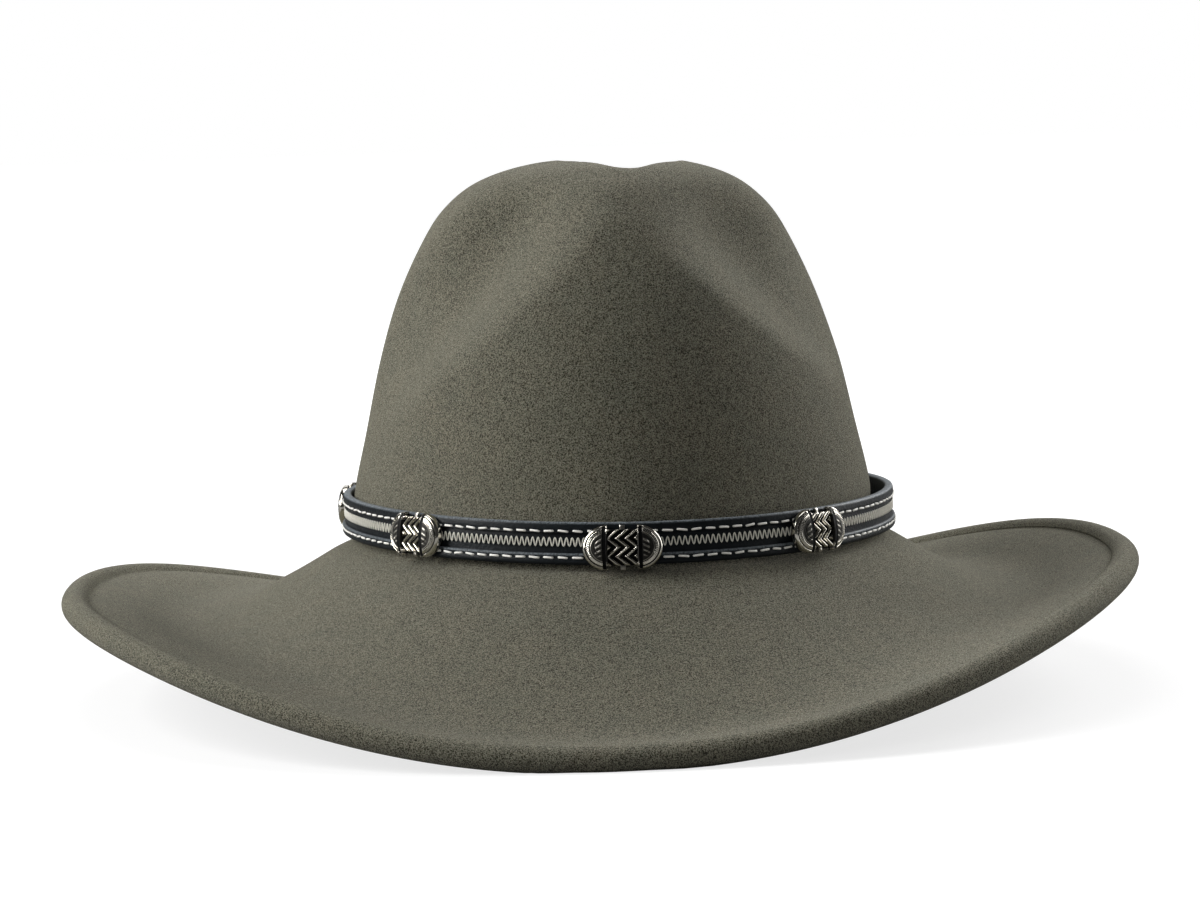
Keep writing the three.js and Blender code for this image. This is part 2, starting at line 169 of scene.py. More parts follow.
def finished_felt(place, turn):
    """The outer face with its pinches and its top dent."""
    points = blocked_felt(place, turn)
    shape = points.shape
    points = points.reshape(-1, 3)
    crown = np.nonzero(np.broadcast_to(place, shape[:-1]).reshape(-1) < CROWN_FOOT)[0]
    felt = points[crown]
    depth = sum(pinch_depth(felt, pinch) for pinch in PINCHES)
    push = np.column_stack([PINCH_AIM - felt[:, :2], np.full(len(felt), -PINCH_DROP)])
    felt = felt + push / length_of(push) * depth[:, None]
    opening = smoothstep(1 - np.abs(felt[:, 1]) / TOP_DENT["half_length"], 0, TOP_DENT_END)
    half_width = TOP_DENT["end_half_width"] + (TOP_DENT["half_width"] - TOP_DENT["end_half_width"]) * opening
    sideways = (felt[:, 0] - CROWN_SHIFT_X - TOP_DENT["shift_x"]) / half_width
    dent = TOP_DENT["depth"] * opening * smoothstep(felt[:, 2], *TOP_DENT_HEIGHTS) * bell(sideways)
    fall = TOP_FALL * smoothstep(felt[:, 1], *TOP_FALL_REACH) * smoothstep(felt[:, 2], *TOP_FALL_HEIGHTS)
    felt[:, 2] -= dent + fall
    points[crown] = felt
    return points.reshape(shape)


SLOPE_STEP = 0.02


def felt_inner_face(place, turn):
    """The inner face, one wall behind the outer one."""
    step = SLOPE_STEP
    down = finished_felt(place + step, turn) - finished_felt(np.maximum(place - step, step / 2), turn)
    around = finished_felt(place, turn + step) - finished_felt(place, turn - step)
    normal = np.cross(down, around)
    return finished_felt(place, turn) - FELT_WALL * normal / length_of(normal)


RIM_HALF_WIDTH = 4.4
RIM_HALF_HEIGHT = 4.0
RIM_SINK = 3.0
RIM_FOLD_DEPTH = 0.6


def rolled_rim(angle, turn):
    """The bead along the edge of the brim, pressed flat where it rests."""
    edge = np.full_like(turn, RIM_PLACE)
    middle = blocked_felt(edge, turn)
    outward = middle - blocked_felt(edge - SLOPE_STEP, turn)
    outward[..., 2] = 0
    bead = middle + outward / length_of(outward) * RIM_HALF_WIDTH * np.cos(angle)[..., None]
    bead[..., 2] = np.maximum(middle[..., 2] - RIM_SINK + RIM_HALF_HEIGHT * np.sin(angle), 0)
    return bead


def smooth_object(name, points, faces, sharp_angle):
    """A smooth shaded object from points in millimetres, with edges sharper than an angle kept sharp."""
    mesh = bpy.data.meshes.new(name)
    mesh.from_pydata((points * MM).tolist(), [], faces)
    mesh.polygons.foreach_set("use_smooth", [True] * len(mesh.polygons))
    mesh.set_sharp_from_angle(angle=math.radians(sharp_angle))
    piece = bpy.data.objects.new(name, mesh)
    bpy.context.scene.collection.objects.link(piece)
    return piece


def skin_object(name, loops, tips=None, ring=False, sharp_angle=50):
    """A smooth skin through loops of points. It is closed by a fan to each tip, or runs round in a ring."""
    rows, count = loops.shape[:2]
    points = loops.reshape(-1, 3)
    j = np.arange(count)
    faces = []
    for i in range(rows if ring else rows - 1):
        here = i * count
        after = (i + 1) % rows * count
        quads = np.stack([here + j, after + j, after + (j + 1) % count, here + (j + 1) % count], 1)
        faces.extend(quads.tolist())
    if tips is not None:
        first, last = len(points), len(points) + 1
        foot = (rows - 1) * count
        points = np.vstack([points, tips])
        faces.extend(np.stack([np.full(count, first), j, (j + 1) % count], 1).tolist())
        faces.extend(np.stack([np.full(count, last), foot + (j + 1) % count, foot + j], 1).tolist())
    return smooth_object(name, points, faces, sharp_angle)


FELT_COLUMNS = 272
FOLD_PLACES = (14.4, 14.7)
felt_turns = np.linspace(0, 2 * np.pi, FELT_COLUMNS, endpoint=False)
outer_places = np.concatenate([
    np.linspace(0.1, 8.9, 132),  # crown
    np.linspace(9.05, 14.2, 52),  # brim
    np.linspace(14.25, 14.72, 9),  # fold before the rolled rim
])
inner_places = np.linspace(14.7, 0.15, 76)
rim_angles = np.radians(np.linspace(158, -135, 22))
outer_face = finished_felt(outer_places[:, None], felt_turns[None, :])
fold = smoothstep(outer_places, *FOLD_PLACES)[:, None]
outer_face[..., 2] -= RIM_FOLD_DEPTH * fold
rim_face = rolled_rim(*np.meshgrid(rim_angles, felt_turns, indexing="ij"))
inner_face = felt_inner_face(*np.meshgrid(inner_places, felt_turns, indexing="ij"))
crown_tip = finished_felt(np.array([0.0]), np.array([0.0]))
felt = skin_object(
    "felt",
    np.concatenate([outer_face, rim_face, inner_face]),
    tips=np.vstack([crown_tip, crown_tip - (0, 0, FELT_WALL)]),
)
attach(felt, "root")
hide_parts("felt_body")


def input_named(node, name):
    """The first enabled input of a node with a name, written small and with underlines, or None."""
    return next((s for s in node.inputs if s.name.lower().replace(" ", "_") == name and s.enabled), None)


def add_node(tree, kind, links=None, **settings):
    """A node with its settings. One that names an input is that input's value, and links feed inputs."""
    node = tree.nodes.new(kind)
    for key, value in settings.items():
        socket = input_named(node, key)
        if socket is None:
            setattr(node, key, value)
        else:
            socket.default_value = value
    for key, source in (links or {}).items():
        tree.links.new(source, input_named(node, key))
    return node


def mix_colours(tree, factor, first, second, blend="MIX"):
    """A colour between two. Each colour is a tuple or another node's output."""
    node = tree.nodes.new("ShaderNodeMix")
    node.data_type = "RGBA"
    node.blend_type = blend
    if isinstance(factor, (int, float)):
        node.inputs[0].default_value = factor
    else:
        tree.links.new(factor, node.inputs[0])
    for socket, colour in ((node.inputs[6], first), (node.inputs[7], second)):
        if isinstance(colour, tuple):
            socket.default_value = (*colour, 1)
        else:
            tree.links.new(colour, socket)
    return node.outputs[2]


def new_material(name):
    material = bpy.data.materials.new(name)
    material.use_nodes = True
    tree = material.node_tree
    return material, tree, tree.nodes["Principled BSDF"]


COARSE_GRAIN_SCALE = 0.28
COARSE_GRAIN_SHARE = 0.10
FINE_GRAIN_SHARE = 0.90


def make_grain_group():
    """Speckle of two sizes: a mask and a height that felt, leather, thread and metal all use."""
    group = bpy.data.node_groups.new("fine_grain", "ShaderNodeTree")
    group.interface.new_socket("Grains per metre", in_out="INPUT", socket_type="NodeSocketFloat")
    group.interface.new_socket("Contrast", in_out="INPUT", socket_type="NodeSocketFloat")
    group.interface.new_socket("Mask", in_out="OUTPUT", socket_type="NodeSocketFloat")
    group.interface.new_socket("Height", in_out="OUTPUT", socket_type="NodeSocketFloat")
    given = group.nodes.new("NodeGroupInput").outputs
    place = group.nodes.new("ShaderNodeTexCoord").outputs["Object"]
    fine_links = {"vector": place, "scale": given[0]}
    fine = add_node(group, "ShaderNodeTexNoise", fine_links, detail=3, roughness=0.65)
    coarse_scale = add_node(group, "ShaderNodeMath", operation="MULTIPLY")
    coarse_scale.inputs[1].default_value = COARSE_GRAIN_SCALE
    group.links.new(given[0], coarse_scale.inputs[0])
    coarse_links = {"vector": place, "scale": coarse_scale.outputs[0]}
    coarse = add_node(group, "ShaderNodeTexNoise", coarse_links, detail=2, roughness=0.5)
    both = add_node(group, "ShaderNodeMath", operation="MULTIPLY_ADD")
    both.inputs[1].default_value = COARSE_GRAIN_SHARE
    group.links.new(coarse.outputs[0], both.inputs[0])
    scaled_fine = add_node(group, "ShaderNodeMath", operation="MULTIPLY")
    scaled_fine.inputs[1].default_value = FINE_GRAIN_SHARE
    group.links.new(fine.outputs[0], scaled_fine.inputs[0])
    group.links.new(scaled_fine.outputs[0], both.inputs[2])
    low = add_node(group, "ShaderNodeMath", operation="SUBTRACT")
    low.inputs[0].default_value = 0.5
    group.links.new(given[1], low.inputs[1])
    high = add_node(group, "ShaderNodeMath", operation="ADD")
    high.inputs[0].default_value = 0.5
    group.links.new(given[1], high.inputs[1])
    mask = group.nodes.new("ShaderNodeMapRange")
    group.links.new(both.outputs[0], mask.inputs[0])
    group.links.new(low.outputs[0], mask.inputs[1])
    group.links.new(high.outputs[0], mask.inputs[2])
    result = group.nodes.new("NodeGroupOutput")
    group.links.new(mask.outputs[0], result.inputs[0])
    group.links.new(both.outputs[0], result.inputs[1])
    return group


fine_grain = make_grain_group()


def grain_in(tree, grains_per_metre, contrast):
    node = tree.nodes.new("ShaderNodeGroup")
    node.node_tree = fine_grain
    node.inputs[0].default_value = grains_per_metre
    node.inputs[1].default_value = contrast
    return node.outputs


felt_material, tree, shader = new_material("pressed_felt")
nap = grain_in(tree, 2700, 0.095)
patches = grain_in(tree, 80, 0.24)
hairs = mix_colours(tree, nap[0], (0.0255, 0.0249, 0.0178), (0.262, 0.2515, 0.195))
toned = mix_colours(tree, patches[0], (0.93, 0.95, 0.93), (1.07, 1.04, 1.00))
coloured = mix_colours(tree, 1.0, hairs, toned, blend="MULTIPLY")
tree.links.new(coloured, shader.inputs["Base Color"])
bump = add_node(tree, "ShaderNodeBump", {"height": nap[1]}, strength=0.9, distance=0.0007)
tree.links.new(bump.outputs[0], shader.inputs["Normal"])
shader.inputs["Roughness"].default_value = 0.95
shader.inputs["Specular IOR Level"].default_value = 0.1
shader.inputs["Sheen Weight"].default_value = 0.15
shader.inputs["Sheen Roughness"].default_value = 0.45
shader.inputs["Sheen Tint"].default_value = (0.95, 0.92, 0.84, 1)
felt.data.materials.append(felt_material)

# Hatband strap. A strip of black leather, its two long edges turned over into hems that are sewn down, which
# leaves a sunken channel between them. It goes once round the foot of the crown and meets at the back.
STRAP = {"half_width": 84.8, "half_length": 102.9, "shift_x": 7.0, "oval": 1.92}
STRAP_LEAN = {"side": math.radians(3), "front": math.radians(8)}
STRAP_MIDDLE = 55.0
STRAP_CLIMB = 1.1
STRAP_BOW = 0.9
STRAP_THICK = 2.6
STRAP_HALF_HEIGHT = 6.3
HEM_HEIGHT = 3.4
CHANNEL_THICK = 1.6
BACK_CORNER = 0.7
FACE_CORNER = 0.9
STITCH_GROOVE = 0.17
STITCH_LINE = {"upper": 3.5, "lower": -4.3}


def strap_line(turn, out, up):
    """A point of the hatband: 'out' from the strap's inner face and 'up' from its middle line. Both lean."""
    across, along = oval_at(turn, STRAP["oval"])
    ahead = oval_at(turn + 0.01, STRAP["oval"])
    back = oval_at(turn - 0.01, STRAP["oval"])
    tangent_x = STRAP["half_width"] * (ahead[0] - back[0])
    tangent_y = STRAP["half_length"] * (ahead[1] - back[1])
    size = np.hypot(tangent_x, tangent_y)
    lean = STRAP_LEAN["front"] + (STRAP_LEAN["side"] - STRAP_LEAN["front"]) * across**2
    outward = out * np.cos(lean) - up * np.sin(lean)
    x = STRAP["shift_x"] + STRAP["half_width"] * across + tangent_y / size * outward
    y = STRAP["half_length"] * along - tangent_x / size * outward
    z = STRAP_MIDDLE + STRAP_BOW * across**2 - STRAP_CLIMB * across + up * np.cos(lean) + out * np.sin(lean)
    return np.stack(np.broadcast_arrays(x, y, z), -1)


def strap_section():
    """The strap's outline as (out, up), from its back over the top hem and the channel to the lower hem."""
    hem_foot = STRAP_HALF_HEIGHT - HEM_HEIGHT
    back_top = STRAP_HALF_HEIGHT - BACK_CORNER
    face_top = STRAP_HALF_HEIGHT - FACE_CORNER
    corner_out = STRAP_THICK - FACE_CORNER
    face_arc = np.radians([0, 22, 45, 68, 90])
    outline = [(0.0, 0.0), (0.0, back_top)]
    for a in np.radians([30, 60, 90]):
        outline.append((BACK_CORNER - BACK_CORNER * math.cos(a), back_top + BACK_CORNER * math.sin(a)))
    for a in face_arc:
        outline.append((corner_out + FACE_CORNER * math.sin(a), face_top + FACE_CORNER * math.cos(a)))
    outline += [
        (STRAP_THICK + 0.05, 4.5),  # upper hem, with the groove that its stitches pull
        (STRAP_THICK + 0.03, 3.95),
        (STRAP_THICK - STITCH_GROOVE, STITCH_LINE["upper"]),
        (STRAP_THICK, 3.12),
        (STRAP_THICK - 0.12, hem_foot + 0.12),
        (STRAP_THICK - 0.5, hem_foot),
        (CHANNEL_THICK, hem_foot),  # channel, a little full in the middle
        (CHANNEL_THICK, hem_foot - 0.6),
        (CHANNEL_THICK + 0.1, 1.2),
        (CHANNEL_THICK + 0.12, 0.0),
        (CHANNEL_THICK + 0.1, -1.2),
        (CHANNEL_THICK, -hem_foot + 0.5),
        (CHANNEL_THICK, -hem_foot),
        (STRAP_THICK - 0.5, -hem_foot - 0.02),  # lower hem, from its lip over its groove
        (STRAP_THICK - 0.1, -hem_foot - 0.16),
        (STRAP_THICK + 0.05, -hem_foot - 0.55),
        (STRAP_THICK + 0.03, -3.85),
        (STRAP_THICK - STITCH_GROOVE, STITCH_LINE["lower"]),
        (STRAP_THICK + 0.02, -4.75),
    ]
    for a in face_arc:
        outline.append((corner_out + FACE_CORNER * math.cos(a), -face_top - FACE_CORNER * math.sin(a)))
    for a in np.radians([0, 30, 60, 90]):
        outline.append((BACK_CORNER - BACK_CORNER * math.sin(a), -back_top - BACK_CORNER * math.cos(a)))
    return np.array(outline)


STRAP_COLUMNS = 540
strap_turns = np.linspace(0, -2 * np.pi, STRAP_COLUMNS, endpoint=False)
section = strap_section()
strap_loops = strap_line(strap_turns[:, None], section[None, :, 0], section[None, :, 1])
strap = skin_object("leather_strap", strap_loops, ring=True)
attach(strap, "root")
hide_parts("hatband_strap")

# How much lighter each point of the section is painted: the strap's top edge gets wear and a painted
# highlight, and the lower hem's upper lip, which faces up, gets a painted highlight.
LIP_HIGHLIGHT = {"share": 0.95, "below_lip": 0.35, "half_height": 0.50, "least_out": 2.0}
height_in_strap = np.tile(section[:, 1], len(strap_turns))
out_in_strap = np.tile(section[:, 0], len(strap_turns))
below_lip = height_in_strap + STRAP_HALF_HEIGHT - HEM_HEIGHT + LIP_HIGHLIGHT["below_lip"]
lip_highlight = LIP_HIGHLIGHT["share"] * bell(below_lip / LIP_HIGHLIGHT["half_height"]) * (out_in_strap > LIP_HIGHLIGHT["least_out"])
corner_wear_and_highlight = smoothstep(height_in_strap, STRAP_HALF_HEIGHT - 0.9, STRAP_HALF_HEIGHT - 0.1)
wear_and_highlight = np.maximum(corner_wear_and_highlight, lip_highlight)
wear_and_highlight_layer = strap.data.attributes.new("wear_and_highlight", "FLOAT", "POINT")
wear_and_highlight_layer.data.foreach_set("value", wear_and_highlight.astype(np.float32))

leather_material, tree, shader = new_material("black_leather")
pores = grain_in(tree, 1600, 0.2)
creases = grain_in(tree, 260, 0.25)
place = tree.nodes.new("ShaderNodeTexCoord").outputs["Object"]
cells = add_node(tree, "ShaderNodeTexVoronoi", {"vector": place}, scale=1300)
wear_and_highlight_attribute = add_node(tree, "ShaderNodeAttribute", attribute_name="wear_and_highlight")
skin_tone = mix_colours(tree, creases[0], (0.005, 0.0066, 0.0078), (0.011, 0.0138, 0.016))
wear_and_highlight_share = add_node(tree, "ShaderNodeMath", operation="MULTIPLY")
tree.links.new(wear_and_highlight_attribute.outputs["Fac"], wear_and_highlight_share.inputs[0])
tree.links.new(pores[0], wear_and_highlight_share.inputs[1])
# The blue-grey lightening is wear and a painted highlight along the top edge, and a painted highlight on the
# lower hem's lip.
leather_colour = mix_colours(tree, wear_and_highlight_share.outputs[0], skin_tone, (0.27, 0.305, 0.33))
tree.links.new(leather_colour, shader.inputs["Base Color"])
dullness = add_node(tree, "ShaderNodeMapRange", {"value": pores[0]}, to_min=0.36, to_max=0.52)
tree.links.new(dullness.outputs[0], shader.inputs["Roughness"])
grain_height = add_node(tree, "ShaderNodeMath", {"value": cells.outputs["Distance"]}, operation="ADD")
tree.links.new(creases[1], grain_height.inputs[1])
bump = add_node(tree, "ShaderNodeBump", {"height": grain_height.outputs[0]}, strength=0.35, distance=0.00025)
tree.links.new(bump.outputs[0], shader.inputs["Normal"])
shader.inputs["Specular IOR Level"].default_value = 0.13
strap.data.materials.append(leather_material)

# Edge stitches. Waxed white thread sews each hem down in a running stitch: every stitch comes out of one
# hole, lies on the leather and goes back into the next, a little askew.
STITCH_PITCH = 4.45
STITCH_LENGTH = 3.35
STITCH_RADIUS = 0.33
STITCH_FLATNESS = 0.8
STITCH_SKEW = 0.22
STITCH_SPREAD = (0.93, 1.05)


def turns_by_length(pitch):
    """Turns that lie a given length apart along the strap's face."""
    fine = np.linspace(-np.pi / 2, 1.5 * np.pi, 6001)
    path = strap_line(fine, STRAP_THICK, 0.0)
    length = np.concatenate([[0], np.cumsum(length_of(np.diff(path, axis=0))[:, 0])])
    count = round(length[-1] / pitch)
    return np.interp(np.arange(count) * length[-1] / count, length, fine), length[-1] / count


def tube_loops(path, across, outward, radius, sides, flatness=1.0):
    """Loops of a round thread along a path of points."""
    a = np.linspace(0, 2 * np.pi, sides, endpoint=False)
    ring = across[:, None] * np.cos(a)[None, :, None] + outward[:, None] * np.sin(a)[None, :, None] * flatness
    return path[:, None] + ring * radius[:, None, None]


def joined_skins(name, skins, sharp_angle=180):
    """One object of many open skins, each closed at both ends by its own end loop."""
    points = []
    faces = []
    for loops in skins:
        start = sum(len(p) for p in points)
        rows, count = loops.shape[:2]
        points.append(loops.reshape(-1, 3))
        for i in range(rows - 1):
            for j in range(count):
                a = start + i * count + j
                b = start + i * count + (j + 1) % count
                faces.append((a, b, b + count, a + count))
        faces.append([start + j for j in reversed(range(count))])
        faces.append([start + (rows - 1) * count + j for j in range(count)])
    return smooth_object(name, np.vstack(points), faces, sharp_angle)


def outward_at(turn):
    return strap_line(turn, 1.0, 0.0) - strap_line(turn, 0.0, 0.0)


def upward_at(turn):
    return strap_line(turn, 0.0, 1.0) - strap_line(turn, 0.0, 0.0)


chance = np.random.default_rng(7)
along_stitch = np.array([-1.0, -0.86, -0.5, 0.0, 0.5, 0.86, 1.0]) / 2
stitch_rise = np.array([-0.30, -0.02, 0.10, 0.14, 0.10, -0.02, -0.30])
stitch_fullness = np.array([0.55, 0.95, 1.0, 1.0, 1.0, 0.95, 0.55])
middles, pitch = turns_by_length(STITCH_PITCH)
turn_per_mm = np.gradient(np.unwrap(middles)) / pitch
stitches = []
for line in STITCH_LINE.values():
    for middle, per_mm in zip(middles, turn_per_mm):
        skew = chance.uniform(-STITCH_SKEW, STITCH_SKEW)
        length = STITCH_LENGTH * chance.uniform(*STITCH_SPREAD)
        turns = middle + along_stitch * length * per_mm
        path = strap_line(turns, STRAP_THICK + stitch_rise, line + 2 * along_stitch * skew)
        thickness = STITCH_RADIUS * stitch_fullness
        across, outward = upward_at(turns), outward_at(turns)
        stitches.append(tube_loops(path, across, outward, thickness, sides=8, flatness=STITCH_FLATNESS))
edge_stitches = joined_skins("edge_stitches", stitches)
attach(edge_stitches, "root")

thread_material, tree, shader = new_material("waxed_thread")
fibres = grain_in(tree, 3500, 0.2)
thread_colour = mix_colours(tree, fibres[0], (0.78, 0.76, 0.70), (0.96, 0.95, 0.90))
tree.links.new(thread_colour, shader.inputs["Base Color"])
bump = add_node(tree, "ShaderNodeBump", {"height": fibres[1]}, strength=0.5, distance=0.0001)
tree.links.new(bump.outputs[0], shader.inputs["Normal"])
shader.inputs["Roughness"].default_value = 0.6
shader.inputs["Sheen Weight"].default_value = 0.2
edge_stitches.data.materials.append(thread_material)

# Zigzag thread. A cream cord laid in tight waves along the sunken channel, a little above its middle.
ZIGZAG_PITCH = 1.78
ZIGZAG_HALF_HEIGHT = 1.25
ZIGZAG_RADIUS = 0.21
ZIGZAG_LINE = 0.35
ZIGZAG_LIFT = 0.50
ZIGZAG_TILT = 0.10
ZIGZAG_SWAY = 0.02
ZIGZAG_POINTEDNESS = 1.15
POINTS_A_WAVE = 10

wave_turns = turns_by_length(ZIGZAG_PITCH)[0]
wave_count = len(wave_turns)
wave_place = np.arange(wave_count * POINTS_A_WAVE) / POINTS_A_WAVE
sway = ZIGZAG_SWAY * np.sin(4 * np.pi * wave_place)
thread_turns = np.interp(wave_place + sway, np.arange(wave_count + 1), np.append(wave_turns, 1.5 * np.pi))
swing = np.cos(2 * np.pi * wave_place)
swing = np.sign(swing) * np.abs(swing) ** ZIGZAG_POINTEDNESS
thread_out = CHANNEL_THICK + ZIGZAG_LIFT + ZIGZAG_TILT * swing
thread_path = strap_line(thread_turns, thread_out, ZIGZAG_LINE + ZIGZAG_HALF_HEIGHT * swing)
thread_ahead = np.roll(thread_path, -1, axis=0) - np.roll(thread_path, 1, axis=0)
thread_outward = outward_at(thread_turns)
thread_across = np.cross(thread_ahead, thread_outward)
thread_across /= length_of(thread_across)
thread_radius = np.full(len(thread_path), ZIGZAG_RADIUS)
thread_loops = tube_loops(thread_path, thread_across, thread_outward, thread_radius, sides=6)
zigzag = skin_object("zigzag_thread", thread_loops[:, ::-1], ring=True, sharp_angle=180)
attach(zigzag, "root")
cream_material, tree, shader = new_material("cream_cord")
fibres = grain_in(tree, 3500, 0.2)
cord_colour = mix_colours(tree, fibres[0], (0.58, 0.56, 0.48), (0.86, 0.84, 0.76))
tree.links.new(cord_colour, shader.inputs["Base Color"])
shader.inputs["Roughness"].default_value = 0.65
zigzag.data.materials.append(cream_material)

# Keeper. A short loop of the same leather, folded over both edges of the strap at the back, where the strap's
# ends meet. The photo hides it, so it is plain.
KEEPER_HALF_LENGTH = 8.0
KEEPER_THICK = 1.1
FIT_GAP = 0.3
KEEPER_FOOT = 1.8
KEEPER_BEVEL = 0.2


def keeper_section():
    """The keeper's outline as (out, up), round at its outer corners."""
    inner = STRAP_HALF_HEIGHT + FIT_GAP
    outer = inner + KEEPER_THICK
    seat = STRAP_THICK + FIT_GAP
    face = seat + KEEPER_THICK
    arc = np.radians([0, 30, 60, 90])
    top = [(KEEPER_FOOT, inner), (KEEPER_FOOT, outer - KEEPER_BEVEL), (KEEPER_FOOT + KEEPER_BEVEL, outer)]
    for a in arc:
        round_out = face - FACE_CORNER + FACE_CORNER * math.sin(a)
        round_up = outer - FACE_CORNER + FACE_CORNER * math.cos(a)
        top.append((round_out, round_up))
    bottom = [(out, -up) for out, up in reversed(top)]
    return np.array(top + bottom + [(seat, -inner), (seat, inner)])


keeper_outline = keeper_section()
keeper_reach = KEEPER_HALF_LENGTH / (STRAP["half_width"] + STRAP_THICK)
keeper_turns = np.pi / 2 + np.linspace(keeper_reach, -keeper_reach, 25)
keeper_loops = strap_line(keeper_turns[:, None], keeper_outline[None, :, 0], keeper_outline[None, :, 1])
keeper = joined_skins("leather_keeper", [keeper_loops[:, ::-1]], sharp_angle=50)
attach(keeper, "root")
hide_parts("band_keeper")
keeper.data.materials.append(leather_material)

# Cast ornaments. Each is one casting in white metal, blackened and then polished on its high parts: two half
# domes with an engraved border and leaves, a lower plate with three zigzag ridges between them, and two flat
# prongs above and below the plate. The dark on the caps' walls and in the trough by each flat side is
# blackening and also painted shade. Five of them sit on the strap.
CAP_FLAT = 4.35
CAP_LENGTH = 7.3
CAP_HALF_HEIGHT = 6.6
CAP_EDGE = 1.2
CAP_DOME = 2.1
PLATE_HALF_LENGTH = 4.3
PLATE_HALF_HEIGHT = 5.3
PLATE_THICK = 1.3
RIDGE_PITCH = 2.75
RIDGE_HEIGHT = 0.9
RIDGE_SHARE = 0.58
RIDGE_WAVES = 2
RIDGE_REACH = 3.2
ORNAMENT_BEND = 92.0
ORNAMENT_GAP = 0.5
ORNAMENTS = {
    "concho_side_left": (-194.9, 0.1),
    "concho_front_left": (-137.8, 0.1),
    "concho_front": (-93.3, 1.25),
    "concho_front_right": (-50.4, 0.4),
    "concho_side_right": (28.0, 0.1),
}


# Engraving of a cap, in shares of its length (u, out from its flat side) and of its half height (v).
ENGRAVING_DEPTH = 0.32
ENGRAVED_RINGS = {"outer": (0.86, 0.040), "inner": (0.68, 0.035), "hatched": (0.77, 0.075)}
HATCHING_RATE = 58
HATCHING_SLANT = 0.9
STEM = {"u": 0.10, "v": 0.05, "radius": 0.40, "half_width": 0.045}
LEAF_RATE = 27
LEAF_SLANT = 0.55
FIELD_DARKNESS = 0.70
LEAF_LIGHTNESS = 0.22


def line_at(x, middle, half_width):
    """A smooth line across x: 1 on it and 0 beside it."""
    return bell((x - middle) / half_width)


def cap_engraving(u, v):
    """How deep a cap is cut and how dark it is left, each 0 to 1: blackening in the cuts, and in the trough
    by the flat side also painted shade.
    """
    radius = np.hypot(u, v)
    angle = np.arctan2(v, u)
    inner_ring = 0.9 * line_at(radius, *ENGRAVED_RINGS["inner"])
    border = np.maximum(line_at(radius, *ENGRAVED_RINGS["outer"]), inner_ring)
    strokes = smoothstep(np.cos(HATCHING_RATE * (angle + HATCHING_SLANT * radius)), 0.3, 0.9)
    hatching = strokes * line_at(radius, *ENGRAVED_RINGS["hatched"])
    from_stem = np.hypot(u - STEM["u"], v - STEM["v"]) - STEM["radius"]
    stem = line_at(from_stem, 0.0, STEM["half_width"]) * smoothstep(u, 0.12, 0.25)
    leaves = smoothstep(np.cos(LEAF_RATE * (v + LEAF_SLANT * u)), 0.1, 0.8)
    leaves = leaves * smoothstep(u, 0.20, 0.26) * smoothstep(u, 0.50, 0.42)
    leaves *= smoothstep(np.abs(v), 0.45, 0.35)
    # The trough by the flat side is cut shallow and left fully dark. This is blackening that also paints the
    # shade of the cap's flat wall.
    trough = smoothstep(u, 0.03, 0.06) * smoothstep(u, 0.22, 0.17) * (radius < 0.96)
    field = smoothstep(radius, 0.70, 0.62)
    cut = np.maximum.reduce([border, 0.5 * hatching, 0.8 * trough, 0.5 * field * (1 - leaves), stem])
    field_dark = field * (FIELD_DARKNESS - LEAF_LIGHTNESS * leaves)
    dark = np.maximum.reduce([border, 0.7 * hatching, trough, field_dark])
    return np.clip(cut, 0, 1), np.clip(dark, 0, 1)


def grid_with_skirt(x, z, y, foot):
    """Points and faces of a raised field over a grid, closed by side walls down to 'foot' and a flat back."""
    rows, count = x.shape
    field = np.stack([x, y, z], -1).reshape(-1, 3)
    index = np.arange(rows * count).reshape(rows, count)
    corners = [index[:-1, :-1], index[1:, :-1], index[1:, 1:], index[:-1, 1:]]
    faces = np.stack(corners, -1).reshape(-1, 4).tolist()
    rim = np.concatenate([index[:-1, 0], index[-1, :-1], index[:0:-1, -1], index[0, :0:-1]])
    low = field[rim].copy()
    low[:, 1] = foot
    start = len(field)
    for k in range(len(rim)):
        after = (k + 1) % len(rim)
        faces.append([int(rim[after]), int(rim[k]), start + k, start + after])
    faces.append([start + k for k in reversed(range(len(rim)))])
    return np.vstack([field, low]), faces


CAP_RINGS = np.concatenate([np.linspace(0.02, 0.95, 62), [0.965, 0.98, 0.99, 0.996, 1.0]])
CAP_SPOKES = 110
CAP_ROUNDING = 0.5
CAP_FLAT_ROUNDING = 0.25
# The caps' side walls are left dark. This is blackening that also paints the shade they stand in, most of all
# on the flat walls that face the plate.
CASTING_WALL_BLACK_AND_SHADE = 0.75


def half_dome(side):
    """One cap as a field over rings and spokes round the middle of its flat side."""
    spokes = np.linspace(-np.pi / 2, np.pi / 2, CAP_SPOKES)
    r, a = np.meshgrid(CAP_RINGS, spokes, indexing="ij")
    u = r * np.cos(a)
    v = r * np.sin(a)
    cut, dark = cap_engraving(u, v)
    dome = CAP_EDGE + CAP_DOME * np.sqrt(np.maximum(1 - r**2, 0)) - CAP_ROUNDING * smoothstep(r, 0.985, 1)
    height = dome - ENGRAVING_DEPTH * cut - CAP_FLAT_ROUNDING * smoothstep(u, 0.03, 0)
    points, faces = grid_with_skirt(side * (CAP_FLAT + CAP_LENGTH * u), CAP_HALF_HEIGHT * v, height, 0.0)
    antiquing_and_shade = np.concatenate([dark.reshape(-1), np.full(len(points) - dark.size, CASTING_WALL_BLACK_AND_SHADE)])
    if side > 0:
        faces = [face[::-1] for face in faces]
    return points, faces, antiquing_and_shade


PLATE_COLUMNS = 72
PLATE_ROWS = 84
PLATE_BEVEL = 0.35
PLATE_BEVEL_DROP = 0.4
PLATE_SIDE_HOLLOW = 0.6


